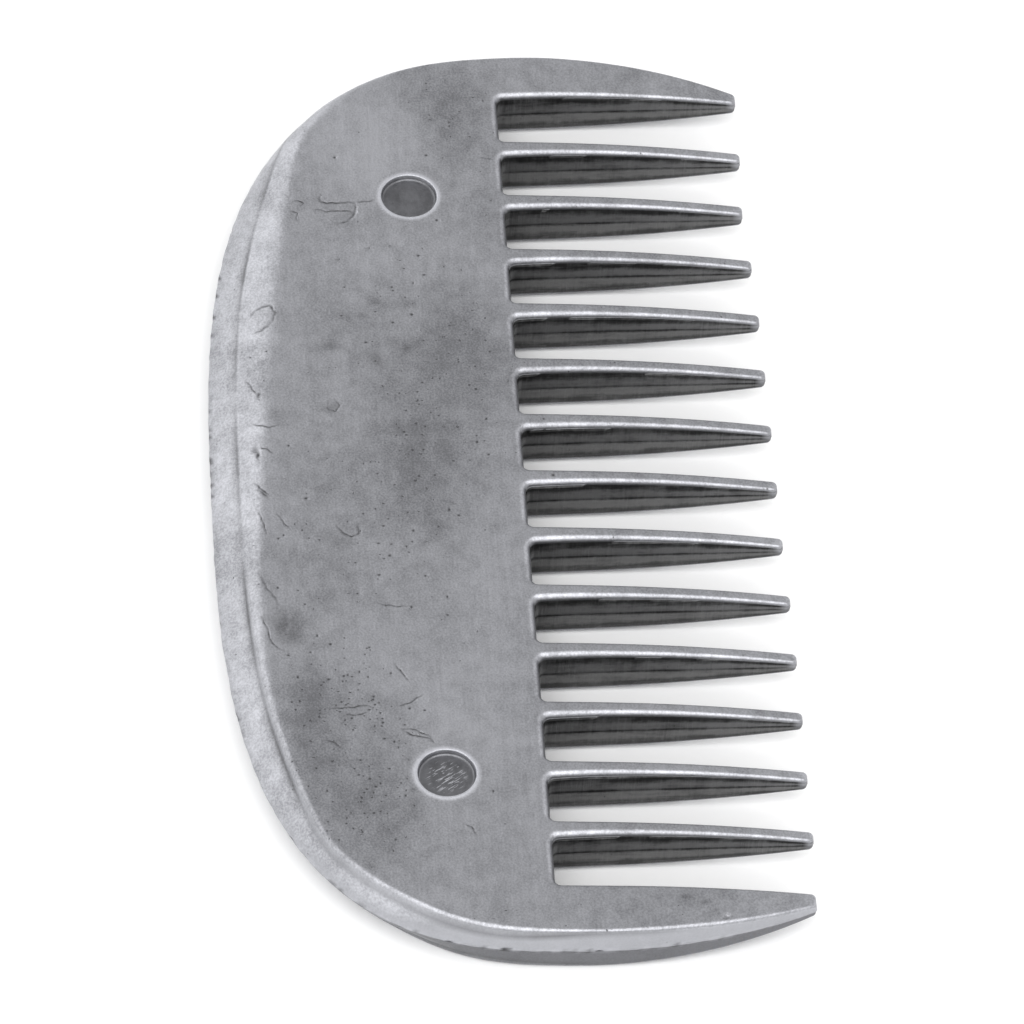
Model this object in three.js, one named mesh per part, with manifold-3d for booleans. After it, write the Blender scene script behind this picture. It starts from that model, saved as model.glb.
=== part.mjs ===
// A die-cast aluminium mane comb, made in one piece, lying on the flat of its underside.
// Millimetres. +X runs along the comb, +Y points from the teeth to the back, +Z is up.
// The origin is the middle of the bounding box's bottom face.
//
// The two halves of the die met in the plane half way up, so every wall leans away from that
// plane by the draft angle, and the outlines below are the ones in that parting plane.

import * as THREE from 'three';
import { mergeVertices } from 'three/addons/utils/BufferGeometryUtils.js';
import Module from 'manifold-3d';

// Overall size
const LENGTH = 100;
const DEPTH = 49.7;
const THICKNESS = 5;

// Plan outline: a superellipse round the back, and an arc down the outside of each end tooth
const WIDEST_Y = -5.6;
const BACK_EXPONENT = 2.86;
const BACK_STEPS = 48;
const END_ARC_RADIUS = 50;

// Teeth: widths are in the parting plane
const INNER_TEETH = 13;
const TOOTH_PITCH = 6.45;
const TOOTH_LENGTH = 22.2;
const TOOTH_ROOT_WIDTH = 1.75;
const TOOTH_TIP_WIDTH = 1.12;
const TOOTH_TIP_THICKNESS = 1.3;
const END_SLOT_ROOT_WIDTH = 5.1;
const END_TOOTH_TIP_INSET = 0.3;
const SLOT_CORNER_RADIUS = 0.6;
const TIP_CORNER_RADIUS = 0.25;

// Thickness along Y: flat, with an arc down to the tooth tips and a gentler one to the back
const TAPER_START = 1.5;
const FALL_START_Y = 17.5;
const FALL_DROP = 1.2;

// Die draft, and the flat left by the parting line
const DRAFT_ANGLE = THREE.MathUtils.degToRad(3);
const PARTING_LAND = 0.1;

// Sloping rim: it meets the parting plane at the back and climbs the walls towards the teeth
const RIM_SLOPE = 1.45;
const RIM_WIDEST_Y = -12;
const RIM_HALF_LENGTH = 53.6;

// Recesses left in the upper face by the two ejector pins
const EJECTOR_RADIUS = 2.5;
const EJECTOR_DEPTH = 0.5;
const EJECTOR_X = 32.8;
const EJECTOR_Y = 6;

// How far a cutting surface runs past the faces that it cuts
const OVERRUN = 0.5;

// Worked out from the sizes above
const HALF_LENGTH = LENGTH / 2;
const BACK_Y = DEPTH / 2;
const TIP_Y = -DEPTH / 2;
const ROOT_Y = TIP_Y + TOOTH_LENGTH;
const MID_Z = THICKNESS / 2;
const CURVE_SEGMENTS = 4;

const wasm = await Module();
wasm.setup();

function toSolid(geometry) {
  geometry.deleteAttribute('normal');
  geometry.deleteAttribute('uv');
  const merged = mergeVertices(geometry, 1e-4);
  const vertProperties = new Float32Array(merged.attributes.position.array);
  const triVerts = new Uint32Array(merged.index.array);
  return new wasm.Manifold(new wasm.Mesh({ numProp: 3, vertProperties, triVerts }));
}

function toGeometry(solid) {
  const mesh = solid.getMesh();
  const geometry = new THREE.BufferGeometry();
  geometry.setAttribute('position', new THREE.BufferAttribute(mesh.vertProperties, 3));
  geometry.setIndex(new THREE.BufferAttribute(mesh.triVerts, 1));
  geometry.computeVertexNormals();
  return geometry;
}

// Points of the upper half of a superellipse, from +X round the back to -X
function backCurve(halfLength, widestY) {
  const points = [];
  for (let step = 0; step <= BACK_STEPS; step += 1) {
    const angle = (Math.PI * step) / BACK_STEPS;
    const along = Math.abs(Math.cos(angle)) ** (2 / BACK_EXPONENT);
    const across = Math.sin(angle) ** (2 / BACK_EXPONENT);
    const x = Math.sign(Math.cos(angle)) * halfLength * along;
    points.push(new THREE.Vector2(x, widestY + (BACK_Y - widestY) * across));
  }
  return points;
}

// The two sides of each slot, as X at the root and at the tip, from -X to +X
function slotSides() {
  const sides = [];
  const endRoot = ((INNER_TEETH - 1) * TOOTH_PITCH + TOOTH_ROOT_WIDTH) / 2 + END_SLOT_ROOT_WIDTH;
  const endTip = endRoot + END_TOOTH_TIP_INSET;
  let left = { root: -endRoot, tip: -endTip };
  for (let tooth = 0; tooth < INNER_TEETH; tooth += 1) {
    const x = (tooth - (INNER_TEETH - 1) / 2) * TOOTH_PITCH;
    const right = { root: x - TOOTH_ROOT_WIDTH / 2, tip: x - TOOTH_TIP_WIDTH / 2 };
    sides.push({ left, right });
    left = { root: x + TOOTH_ROOT_WIDTH / 2, tip: x + TOOTH_TIP_WIDTH / 2 };
  }
  sides.push({ left, right: { root: endRoot, tip: endTip } });
  return sides;
}

// Goes from the tip on a slot's left, up and over its root, to the tip on its right
function addSlot(shape, { left, right }) {
  shape.lineTo(left.tip - TIP_CORNER_RADIUS, TIP_Y);
  shape.quadraticCurveTo(left.tip, TIP_Y, left.tip, TIP_Y + TIP_CORNER_RADIUS);
  shape.lineTo(left.root, ROOT_Y - SLOT_CORNER_RADIUS);
  shape.quadraticCurveTo(left.root, ROOT_Y, left.root + SLOT_CORNER_RADIUS, ROOT_Y);
  shape.lineTo(right.root - SLOT_CORNER_RADIUS, ROOT_Y);
  shape.quadraticCurveTo(right.root, ROOT_Y, right.root, ROOT_Y - SLOT_CORNER_RADIUS);
  shape.lineTo(right.tip, TIP_Y + TIP_CORNER_RADIUS);
  shape.quadraticCurveTo(right.tip, TIP_Y, right.tip + TIP_CORNER_RADIUS, TIP_Y);
}

// The comb seen from above, with its slots and straight drafted walls
function slottedPlate() {
  const shape = new THREE.Shape(backCurve(HALF_LENGTH, WIDEST_Y));
  const arcCentre = HALF_LENGTH - END_ARC_RADIUS;
  const arcEndY = TIP_Y + TIP_CORNER_RADIUS;
  const arcAngle = Math.asin((WIDEST_Y - arcEndY) / END_ARC_RADIUS);
  const arcEndX = arcCentre + END_ARC_RADIUS * Math.cos(arcAngle);

  shape.absarc(-arcCentre, WIDEST_Y, END_ARC_RADIUS, Math.PI, Math.PI + arcAngle, false);
  shape.quadraticCurveTo(-arcEndX, TIP_Y, TIP_CORNER_RADIUS - arcEndX, TIP_Y);
  for (const sides of slotSides()) {
    addSlot(shape, sides);
  }
  shape.lineTo(arcEndX - TIP_CORNER_RADIUS, TIP_Y);
  shape.quadraticCurveTo(arcEndX, TIP_Y, arcEndX, arcEndY);
  shape.absarc(arcCentre, WIDEST_Y, END_ARC_RADIUS, -arcAngle, 0, false);

  const draftedHeight = (THICKNESS - PARTING_LAND) / 2 + OVERRUN;
  const draft = draftedHeight * Math.tan(DRAFT_ANGLE);
  const plate = new THREE.ExtrudeGeometry(shape, {
    depth: PARTING_LAND,
    bevelEnabled: true,
    bevelThickness: draftedHeight,
    bevelSize: draft,
    bevelOffset: -draft,
    bevelSegments: 1,
    curveSegments: CURVE_SEGMENTS,
  });
  plate.translate(0, 0, MID_Z - PARTING_LAND / 2);
  return toSolid(plate);
}

// The comb seen from its end: flat faces, a fall towards the back and a taper to the tips
function sideProfile() {
  const taperY = ROOT_Y - TAPER_START;
  const taperDrop = (THICKNESS - TOOTH_TIP_THICKNESS) / 2;
  const taperRun = taperY - TIP_Y;
  const taperRadius = (taperRun ** 2 + taperDrop ** 2) / (2 * taperDrop);
  const taperAngle = Math.asin((taperRun + OVERRUN) / taperRadius);
  const fallRun = BACK_Y - FALL_START_Y;
  const fallRadius = (fallRun ** 2 + FALL_DROP ** 2) / (2 * FALL_DROP);
  const fallAngle = Math.asin((fallRun + OVERRUN) / fallRadius);
  const up = Math.PI / 2;
  const down = -Math.PI / 2;

  const shape = new THREE.Shape();
  shape.absarc(taperY, taperRadius, taperRadius, down - taperAngle, down, false);
  shape.absarc(FALL_START_Y, fallRadius, fallRadius, down, down + fallAngle, false);
  shape.absarc(FALL_START_Y, THICKNESS - fallRadius, fallRadius, up - fallAngle, up, false);
  shape.absarc(taperY, THICKNESS - taperRadius, taperRadius, up, up + taperAngle, false);

  const profile = new THREE.ExtrudeGeometry(shape, {
    depth: LENGTH + 2 * OVERRUN,
    bevelEnabled: false,
    curveSegments: 2 * CURVE_SEGMENTS,
  });
  const alongY = new THREE.Vector3(0, 1, 0);
  const alongZ = new THREE.Vector3(0, 0, 1);
  const alongX = new THREE.Vector3(1, 0, 0);
  profile.applyMatrix4(new THREE.Matrix4().makeBasis(alongY, alongZ, alongX));
  profile.translate(-HALF_LENGTH - OVERRUN, 0, 0);
  return toSolid(profile);
}

// A blank whose rim slopes evenly from the parting plane to both faces
function slopingBlank() {
  const points = backCurve(RIM_HALF_LENGTH, RIM_WIDEST_Y);
  points.push(new THREE.Vector2(-RIM_HALF_LENGTH, TIP_Y - THICKNESS));
  points.push(new THREE.Vector2(RIM_HALF_LENGTH, TIP_Y - THICKNESS));

  const rimHeight = MID_Z + OVERRUN;
  const inset = rimHeight * RIM_SLOPE;
  const blank = new THREE.ExtrudeGeometry(new THREE.Shape(points), {
    depth: PARTING_LAND,
    bevelEnabled: true,
    bevelThickness: rimHeight,
    bevelSize: inset,
    bevelOffset: -inset,
    bevelSegments: 1,
  });
  blank.translate(0, 0, MID_Z - PARTING_LAND / 2);
  return toSolid(blank);
}

function ejectorRecess(x) {
  const recess = new THREE.CylinderGeometry(EJECTOR_RADIUS, EJECTOR_RADIUS, 2 * EJECTOR_DEPTH, 48);
  recess.rotateX(Math.PI / 2);
  recess.translate(x, EJECTOR_Y, THICKNESS);
  return toSolid(recess);
}

function combCasting() {
  const solid = slottedPlate()
    .intersect(sideProfile())
    .intersect(slopingBlank())
    .subtract(ejectorRecess(-EJECTOR_X))
    .subtract(ejectorRecess(EJECTOR_X));
  const castAluminium = new THREE.MeshStandardMaterial({
    color: 0x9c9da0,
    roughness: 0.42,
    metalness: 1,
    flatShading: true,
  });
  const casting = new THREE.Mesh(toGeometry(solid), castAluminium);
  casting.name = 'comb_casting';
  return casting;
}

const comb = new THREE.Group();
comb.name = 'mane_comb';
comb.add(combCasting());

export default comb;
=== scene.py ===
"""A die-cast aluminium mane comb: the fine surface, its material, and a plain studio.

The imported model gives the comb's box and place. This script replaces its plain solid with a
finer one of the same size. It has a drafted wall with a parting line, a crease round the back
and the ends, rounded edges, two faces, and the two recesses that the ejector pins left.
Lengths are in millimetres up to the point where a mesh is made, and in metres after it.
A pair of numbers given to smooth() is where it starts to climb and where it has climbed.
"""

import math

import bpy
import numpy as np
from mathutils import Matrix, Vector, kdtree, noise
from mathutils.geometry import delaunay_2d_cdt


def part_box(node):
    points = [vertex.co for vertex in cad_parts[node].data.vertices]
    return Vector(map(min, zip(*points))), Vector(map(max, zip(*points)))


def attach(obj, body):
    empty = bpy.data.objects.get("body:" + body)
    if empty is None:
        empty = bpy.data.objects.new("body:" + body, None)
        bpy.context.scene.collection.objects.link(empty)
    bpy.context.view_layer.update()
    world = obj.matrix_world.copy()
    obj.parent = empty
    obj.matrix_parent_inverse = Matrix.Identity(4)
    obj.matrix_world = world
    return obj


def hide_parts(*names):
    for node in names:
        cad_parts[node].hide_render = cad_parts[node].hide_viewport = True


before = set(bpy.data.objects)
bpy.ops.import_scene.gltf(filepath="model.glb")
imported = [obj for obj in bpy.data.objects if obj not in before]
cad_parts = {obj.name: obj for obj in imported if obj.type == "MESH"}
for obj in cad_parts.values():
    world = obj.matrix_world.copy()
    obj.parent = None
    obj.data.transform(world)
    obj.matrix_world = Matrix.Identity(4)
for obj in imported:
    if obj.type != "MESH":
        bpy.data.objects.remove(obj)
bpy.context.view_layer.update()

MM = 0.001
NODE = "comb_casting"

# -------- sizes from the frame
box_low, box_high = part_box(NODE)
HALF_LENGTH = box_high.x / MM
BACK_Y = box_high.y / MM
TIP_Y = box_low.y / MM
MID_Z = (box_low.z + box_high.z) / 2 / MM
HALF_THICKNESS = (box_high.z - box_low.z) / 2 / MM

# -------- plan outline, after the CAD's
WIDEST_Y = -5.6
BACK_EXPONENT = 2.9
NEAR_END_ARC_RADIUS = 50.0
FAR_END_ARC_RADIUS = 54.0
INNER_TEETH = 13
TOOTH_PITCH = 6.45
TOOTH_LENGTH = 22.2
TOOTH_ROOT_WIDTH = 1.75
TOOTH_TIP_WIDTH = 1.12
TOOTH_TIP_THICKNESS = 1.3
TAPER_START = 1.5
TAPER_REACH = 1.02  # the taper goes on a little past the tip line, in shares of its length
SLOT_CORNER_RADIUS = 0.5
TIP_CORNER_RADIUS = 0.42
ROOT_Y = TIP_Y + TOOTH_LENGTH

# The end teeth differ a little: X of each one's inner side at the root and at the tip
NEAR_END_TOOTH = (-44.6, -44.75)
FAR_END_TOOTH = (44.85, 45.3)
# How far each tooth, from -X to +X, stops short of the tip line, or passes it where negative
TOOTH_SHORTFALL = (0.2, -0.1, -0.1, -0.2, -0.2, -0.15, 0, 0, 0, 0.05, 0.1, 0.3, 0.65, 0.4, 0.3)
# The slots narrow towards their roots by a slight flare of the teeth
FLARE = 0.13
FLARE_LENGTH = 3.5

# Spacing of the outline's points along the back, and steps along each of its other lines
BACK_SPACING = 0.42
BACK_SAMPLES = 20001
END_ARC_STEPS, TOOTH_SIDE_STEPS, TIP_CORNER_STEPS = 44, 40, 6
ROOT_CORNER_STEPS, ROOT_STEPS = 7, 8
HALF_SLOT = 0.5  # a tip corner belongs half to the slot

# -------- edge section
DRAFT = math.tan(math.radians(3))
TOOTH_EDGE_RADIUS = 0.6
TIP_EDGE_RADIUS = 0.3
ROOT_EDGE_RADIUS = 0.75
WALL_STEPS = 5
EDGE_STEPS = 6

# The strip below the crease: where along the end teeth it starts, and how far it bulges
STRIP_START_Y = (-18, -4)
STRIP_BULGE = 0.1
BULGING_INSET = (0.3, 1.2)

# The crease starts just under the face of the end teeth, and drops to its height at the ends.
# It lies further in the more the outline faces the back.
CREASE_HEIGHT = 1.63
CREASE_START_DROP = 0.3
CREASE_DROP_Y = (-8.0, 3.5)
CREASE_INSET_BACK = 2.2
CREASE_INSET_CORNER = 1.0
CREASE_INSET_FAR = 0.55
FAR_CORNER_X = (15, 42)
BACK_FACING = (0.8, 1.0)
CORNER_FACING = (0.05, 0.6)
CREASE_HALF_WIDTH = 0.3
CREASE_DEPTH = 0.075
CREASE_DEPTH_MEAN, CREASE_DEPTH_SWING = 0.7, 0.9
CREASE_DEPTH_WAVE = 7.0
CREASE_SEED = 51

# The rounding behind the crease: narrow at the ends, and dressed broad along the back
END_EDGE_WIDTH = 0.65
TOOTH_EDGE_SHARE = 0.6
BACK_EDGE_WIDTH = 3.4
BACK_EDGE_CENTRE_X = 18.0
BACK_EDGE_SPREAD = 26.0
DRESSED_FACING = (0.45, 0.97)
DRESSED_WIDTH = (0.8, 2.0)
SLOPE_FADE = 0.6  # the share of the broad rounding over which its slope fades out
# The rings cover only the start of a broad rounding, and the face's points the rest
RING_WIDTH = 0.4
BROAD_EDGE = (0.3, 1.5)
NARROW_CREASE_SIDE = 0.08
BROAD_CREASE_SIDE = CREASE_HALF_WIDTH * 0.6
ON_STRIP = 0.99  # the rim value from which a point lies behind the strip

# The parting line: a thin ragged flash, and the chips where it broke away
FLASH = 0.06
SLOT_FLASH = 0.4 * FLASH
FLASH_MEAN, FLASH_SWING = 0.6, 1.2
FLASH_RIPPLE = 1.3
FLASH_HALF_WIDTH = 0.04
FLASH_FOOT = 2.5 * FLASH_HALF_WIDTH
FLASH_FOOT_INSET = 0.01
CHIP_DEPTH = 0.16
CHIP_SIZE = 0.7
CHIPPED = (0.38, 0.55)

# -------- ejector-pin recesses
PIN_X = 32.8
PIN_Y = 6.0
PIN_DEPTH = 0.5
PIN_COLLAR = 3.3
PIN_SEGMENTS = 96
PIN_ANGLES = np.arange(PIN_SEGMENTS) * 2 * math.pi / PIN_SEGMENTS

# -------- the faces' points
FACE_SPACING = 0.4
UNDERSIDE_SPACING = 0.6
ROW_SPACING = 0.87  # this and the next three are shares of the spacing
JITTER = 0.18
BORDER_CLEARANCE = 0.6
MARK_CLEARANCE = 0.5
TOOTH_SCATTER = 3  # how far the scatter reaches into the teeth
MARK_MARGIN = 0.12
MARK_CELL = 0.05
COLLAR_CLEARANCE = 0.15
JUST_INSIDE = 0.999
SAME_POINT = 1e-6

# The faint waves of a tumbled casting
WAVE_HEIGHT = 0.02
BROAD_WAVE, CLOSE_WAVE, CLOSE_WAVE_SHARE = 9.0, 2.2, 0.35
WAVES_BEGIN = 5.0  # from a recess's centre


def smooth(x, low, high):
    """0 up to low, 1 from high on, and a smooth climb between. Low may be the larger one."""
    t = np.clip((np.asarray(x, float) - low) / (high - low), 0, 1)
    return t * t * (3 - 2 * t)


def mix(a, b, t):
    return a + (b - a) * t


def new_object(name, data):
    thing = bpy.data.objects.new(name, data)
    bpy.context.collection.objects.link(thing)
    return thing


def noise_at(points, size, seed):
    """Smooth noise between -1 and 1, whose features are about size millimetres across."""
    offset = Vector((seed, 0, 0))
    places = [Vector((*point[:2], 0)) / size + offset for point in points]
    return np.array([noise.noise(place) for place in places])


def away_from(points, x, y):
    return np.hypot(points[:, 0] - x, points[:, 1] - y)


def half_thickness(y):
    """Half the comb's thickness: level over the back, and an arc down to the tooth tips."""
    taper_y = ROOT_Y - TAPER_START
    drop = HALF_THICKNESS - TOOTH_TIP_THICKNESS / 2
    run = taper_y - TIP_Y
    radius = (run**2 + drop**2) / (2 * drop)
    along = np.clip(taper_y - np.asarray(y, float), 0, run * TAPER_REACH)
    return HALF_THICKNESS - (radius - np.sqrt(radius**2 - along**2))


# -------- plan outline
class Outline:
    """The comb's outline in the parting plane, counterclockwise.

    Each point has the radius of the edge above it, and says how far it belongs to a slot: 0 on
    the outside of the comb and 1 on a tooth's side.
    """

    def __init__(self):
        self.points = []
        self.edge = []
        self.slot = []

    def add(self, x, y, edge, slot):
        self.points.append((x, y))
        self.edge.append(edge)
        self.slot.append(slot)

    def side(self, start, end, flare, edges):
        """A tooth's side, from start to end. Flare is signed, and fades away from the root."""
        for k in range(TOOTH_SIDE_STEPS):
            t = k / TOOTH_SIDE_STEPS
            y = mix(start[1], end[1], t)
            swell = flare * math.exp(-(ROOT_Y - y) / FLARE_LENGTH)
            self.add(mix(start[0], end[0], t) + swell, y, mix(edges[0], edges[1], t), 1)

    def arc(self, centre, radius, start, end, steps, edges, slot):
        for k in range(steps):
            t = k / steps
            angle = math.radians(mix(start, end, t))
            x = centre[0] + radius * math.cos(angle)
            y = centre[1] + radius * math.sin(angle)
            self.add(x, y, mix(edges[0], edges[1], t), slot)


def back_points(half_length, spacing):
    """Evenly spaced points of the superellipse, from +X round the back to -X."""
    angles = np.linspace(0, math.pi, BACK_SAMPLES)
    power = 2 / BACK_EXPONENT
    x = np.sign(np.cos(angles)) * half_length * np.abs(np.cos(angles)) ** power
    y = WIDEST_Y + (BACK_Y - FLASH - WIDEST_Y) * np.sin(angles) ** power
    along = np.concatenate([[0], np.cumsum(np.hypot(np.diff(x), np.diff(y)))])
    places = np.linspace(0, along[-1], int(along[-1] / spacing))
    return np.interp(places, along, x)[:-1], np.interp(places, along, y)[:-1]


def tooth_sides():
    """Each tooth's two sides, left then right, as X at the root and X at the tip, from -X to +X."""
    teeth = [(None, NEAR_END_TOOTH)]
    for tooth in range(INNER_TEETH):
        x = (tooth - (INNER_TEETH - 1) / 2) * TOOTH_PITCH
        root, tip = TOOTH_ROOT_WIDTH / 2, TOOTH_TIP_WIDTH / 2
        teeth.append(((x - root, x - tip), (x + root, x + tip)))
    teeth.append((FAR_END_TOOTH, None))
    return teeth


def comb_outline():
    """The outline's points, and the edge radius and slot share of each."""
    o = Outline()
    half_length = HALF_LENGTH - FLASH
    for x, y in zip(*back_points(half_length, BACK_SPACING)):
        o.add(x, y, TOOTH_EDGE_RADIUS, 0)
    r, s = TIP_CORNER_RADIUS, SLOT_CORNER_RADIUS
    tooth_edge = (TOOTH_EDGE_RADIUS, TIP_EDGE_RADIUS)
    tip_edge = (TIP_EDGE_RADIUS, TIP_EDGE_RADIUS)
    root_edge = (TOOTH_EDGE_RADIUS, ROOT_EDGE_RADIUS)

    def end_arc(radius, tip_y):
        """Centre, angle and corner X of the arc down an end tooth, which a small corner ends."""
        centre = half_length - radius
        reach = radius - r
        angle = math.asin((WIDEST_Y - tip_y - r) / reach)
        return centre, math.degrees(angle), centre + reach * math.cos(angle)

    def tip_corner(x, y, start, end, slot):
        o.arc((x, y), r, start, end, TIP_CORNER_STEPS, tip_edge, slot)

    def slot_root(left_x, right_x):
        """A slot's root, from its left side to its right side, with a corner at each end."""
        swell = FLARE * math.exp(-s / FLARE_LENGTH)
        left, right = left_x + swell + s, right_x - swell - s
        y = ROOT_Y - s
        o.arc((left, y), s, 180, 90, ROOT_CORNER_STEPS, root_edge, 1)
        for k in range(ROOT_STEPS):
            o.add(mix(left, right, k / ROOT_STEPS), ROOT_Y, ROOT_EDGE_RADIUS, 1)
        o.arc((right, y), s, 90, 0, ROOT_CORNER_STEPS, root_edge[::-1], 1)

    tips = [TIP_Y + short for short in TOOTH_SHORTFALL]
    centre, angle, corner_x = end_arc(NEAR_END_ARC_RADIUS, tips[0])
    start = (-centre, WIDEST_Y)
    o.arc(start, NEAR_END_ARC_RADIUS, 180, 180 + angle, END_ARC_STEPS, tooth_edge, 0)
    tip_corner(-corner_x, tips[0] + r, 180 + angle, 270, 0)
    teeth = tooth_sides()
    for k in range(len(teeth) - 1):
        left_root, left_tip = teeth[k][1]
        right_root, right_tip = teeth[k + 1][0]
        left_y, right_y = tips[k] + r, tips[k + 1] + r
        tip_corner(left_tip - r, left_y, 270, 360, HALF_SLOT)
        o.side((left_tip, left_y), (left_root, ROOT_Y - s), FLARE, tooth_edge[::-1])
        slot_root(left_root, right_root)
        o.side((right_root, ROOT_Y - s), (right_tip, right_y), -FLARE, tooth_edge)
        tip_corner(right_tip + r, right_y, 180, 270, HALF_SLOT)
    centre, angle, corner_x = end_arc(FAR_END_ARC_RADIUS, tips[-1])
    tip_corner(corner_x, tips[-1] + r, 270, 360 - angle, 0)
    start = (centre, WIDEST_Y)
    o.arc(start, FAR_END_ARC_RADIUS, -angle, 0, END_ARC_STEPS, tooth_edge[::-1], 0)
    return np.array(o.points), np.array(o.edge), np.array(o.slot)


def outward_normals(points):
    ahead = np.roll(points, -1, 0) - points
    behind = points - np.roll(points, 1, 0)
    ahead /= np.linalg.norm(ahead, axis=1, keepdims=True)
    behind /= np.linalg.norm(behind, axis=1, keepdims=True)
    tangent = ahead + behind
    tangent /= np.linalg.norm(tangent, axis=1, keepdims=True)
    return np.stack([tangent[:, 1], -tangent[:, 0]], 1)


# -------- edge section
class Section:
    """The casting's edge above each outline point.

    On a tooth's side it is a drafted wall and a small rounded edge. On the outside of the comb
    it is a strip up to a crease, then a rounding that is narrow at the ends and broad at the
    back, where the casting was dressed by hand. Rim says how much of the second one there is.
    """

    def __init__(self, points, normals, edge, slot):
        x, y = points[:, 0], points[:, 1]
        self.points, self.normals, self.edge, self.slot = points, normals, edge, slot
        self.rim = np.where(slot == 0, smooth(y, *STRIP_START_Y), 0)
        toward_back = np.clip(normals[:, 1], 0, 1)
        full = half_thickness(y)
        self.wall_top = full - edge
        lowered = smooth(y, *CREASE_DROP_Y)
        self.crease_height = mix(full - CREASE_START_DROP, CREASE_HEIGHT, lowered)
        corner = mix(CREASE_INSET_CORNER, CREASE_INSET_FAR, smooth(x, *FAR_CORNER_X))
        back = (CREASE_INSET_BACK - corner) * smooth(toward_back, *BACK_FACING)
        corner = corner * smooth(toward_back, *CORNER_FACING)
        self.crease_inset = DRAFT * self.crease_height + corner + back
        swing = CREASE_DEPTH_SWING * noise_at(points, CREASE_DEPTH_WAVE, CREASE_SEED)
        self.crease_depth = CREASE_DEPTH * (CREASE_DEPTH_MEAN + swing)
        length = np.hypot(self.crease_inset, self.crease_height)
        self.run, self.rise = self.crease_inset / length, self.crease_height / length
        along_back = np.exp(-(((x - BACK_EDGE_CENTRE_X) / BACK_EDGE_SPREAD) ** 2))
        broad = BACK_EDGE_WIDTH * along_back * smooth(toward_back, *DRESSED_FACING)
        narrow = mix(END_EDGE_WIDTH * TOOTH_EDGE_SHARE, END_EDGE_WIDTH, lowered)
        self.rounding = narrow + broad
        self.dressed = smooth(self.rounding, *DRESSED_WIDTH)
        self.ring_width = mix(narrow, RING_WIDTH, smooth(broad, *BROAD_EDGE))
        self.tree = point_tree(points)

    def rounded(self, depth, k):
        """Height over the mid plane at a depth in from the outline, near outline points k."""
        full = half_thickness(self.points[k, 1] - self.normals[k, 1] * depth)
        t = np.clip(1 - (depth - self.crease_inset[k]) / self.rounding[k], 0, 1)
        circle = 1 - np.sqrt(np.clip(1 - t**2, 0, 1))
        # the broad rounding is an even slope that fades softly into the face
        u = np.clip(t / SLOPE_FADE, 0, 1)
        even = SLOPE_FADE * (u**3 - u**4 / 2) + np.maximum(t - SLOPE_FADE, 0)
        even = even / (1 - SLOPE_FADE / 2)
        drop = mix(circle, even, self.dressed[k])
        return full - (full - self.crease_height[k]) * drop

    def fall(self, points):
        """How far the face lies under its full height, at points near the back."""
        near = np.array([self.tree.find((x, y, 0))[1] for x, y in points])
        depth = np.sum((self.points[near] - points) * self.normals[near], 1)
        full = half_thickness(self.points[near, 1] - self.normals[near, 1] * depth)
        return np.where(self.rim[near] > ON_STRIP, full - self.rounded(depth, near), 0)

    def flash(self, seed):
        """How far the parting line's flash stands out."""
        swing = FLASH_SWING * noise_at(self.points, FLASH_RIPPLE, seed)
        chips = smooth(noise_at(self.points, CHIP_SIZE, seed + 3), *CHIPPED)
        flash = FLASH * np.clip(FLASH_MEAN + swing, 0, 1) - CHIP_DEPTH * chips
        return np.where(self.slot == 0, flash, SLOT_FLASH)

    def wall_rings(self):
        """Depth and height of the wall's rings, which on the outside end at the crease's lip."""
        lip = self.crease_inset - CREASE_HALF_WIDTH * self.run
        lip_z = self.crease_height - CREASE_HALF_WIDTH * self.rise
        bulging = smooth(self.crease_inset, *BULGING_INSET)
        rings = []
        for k in range(1, WALL_STEPS + 1):
            up = k / WALL_STEPS
            z = mix(FLASH_FOOT, self.wall_top, up)
            bulge = STRIP_BULGE * math.sin(math.pi * up) * bulging
            strip = (lip * up - bulge, mix(FLASH_FOOT, lip_z, up))
            rings.append(self.blend((DRAFT * z, z), strip))
        return rings

    def edge_rings(self):
        """Depth and height of the edge's rings. On the outside the first one is the bottom of
        the crease, whose groove is cut square to the strip."""
        everywhere = np.arange(len(self.points))
        groove = self.crease_inset + self.crease_depth * self.rise
        groove_z = self.crease_height - self.crease_depth * self.run
        start = mix(NARROW_CREASE_SIDE, BROAD_CREASE_SIDE, self.dressed)
        rings = []
        for k in range(EDGE_STEPS + 1):
            across = k / EDGE_STEPS
            angle = across * math.pi / 2
            z = self.wall_top + self.edge * math.sin(angle)
            plain = (DRAFT * self.wall_top + self.edge * (1 - math.cos(angle)), z)
            depth = self.crease_inset + start + self.ring_width * across
            strip = (depth, self.rounded(depth, everywhere)) if k else (groove, groove_z)
            rings.append(self.blend(plain, strip))
        return rings

    def rings(self, sign, seed):
        """One half's rings, from the parting line to the face's border."""
        n = len(self.points)
        rings = [(-self.flash(seed), FLASH_HALF_WIDTH)]
        rings.append((FLASH_FOOT_INSET, FLASH_FOOT))
        placed = []
        for depth, z in rings + self.wall_rings() + self.edge_rings():
            place = self.points - self.normals * np.broadcast_to(depth, n)[:, None]
            placed.append(np.column_stack([place, sign * np.broadcast_to(z, n)]))
        return placed

    def blend(self, plain, strip):
        return tuple(mix(a, b, self.rim) for a, b in zip(plain, strip))


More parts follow.
